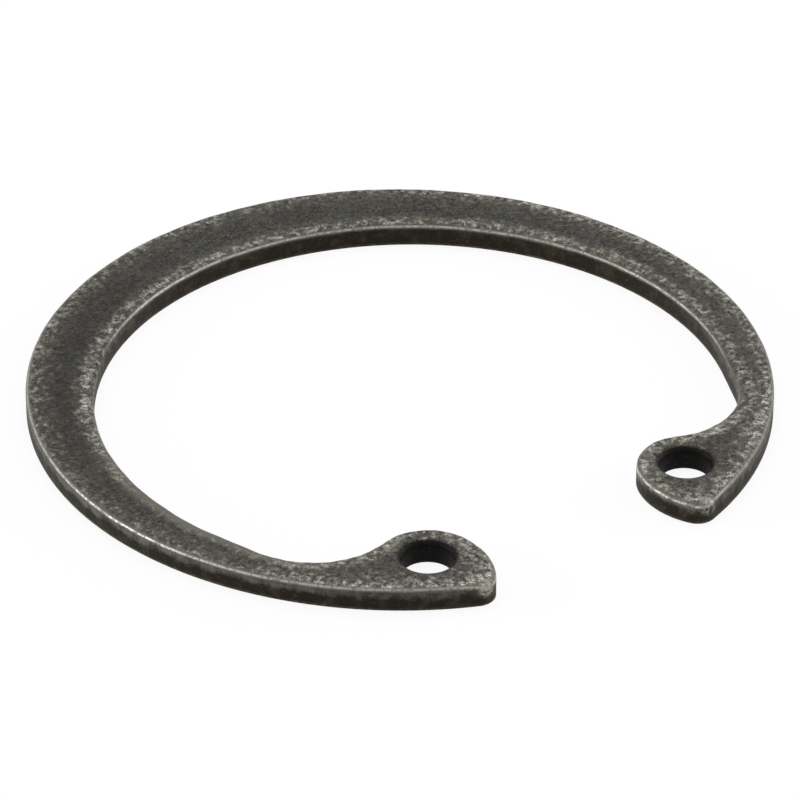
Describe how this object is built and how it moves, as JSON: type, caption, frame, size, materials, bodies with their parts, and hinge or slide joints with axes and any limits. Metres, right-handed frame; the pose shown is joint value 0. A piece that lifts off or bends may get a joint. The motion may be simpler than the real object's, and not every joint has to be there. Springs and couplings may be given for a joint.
{
  "type": "internal retaining ring",
  "caption": "Open flat spring-steel ring with an inward lug and a plier hole at each end, which snaps into a groove inside a bore.",
  "frame": {"origin": "centre of the ring's outer edge, in the plane of the lower face that it rests on", "axes": "+Z is the ring's axis and points out of the upper face, whose edges are drawn over; the gap faces -Y, and the lugs lie at -X and +X of it"},
  "size_m": [0.0344, 0.0333, 0.0012],
  "materials": {
    "phosphated_spring_steel": "stamped strip, phosphated and oiled to a dark grey, rubbed lighter along its edges"
  },
  "bodies": {
    "root": {"retaining_ring": "phosphated_spring_steel"}
  },
  "joints": []
}
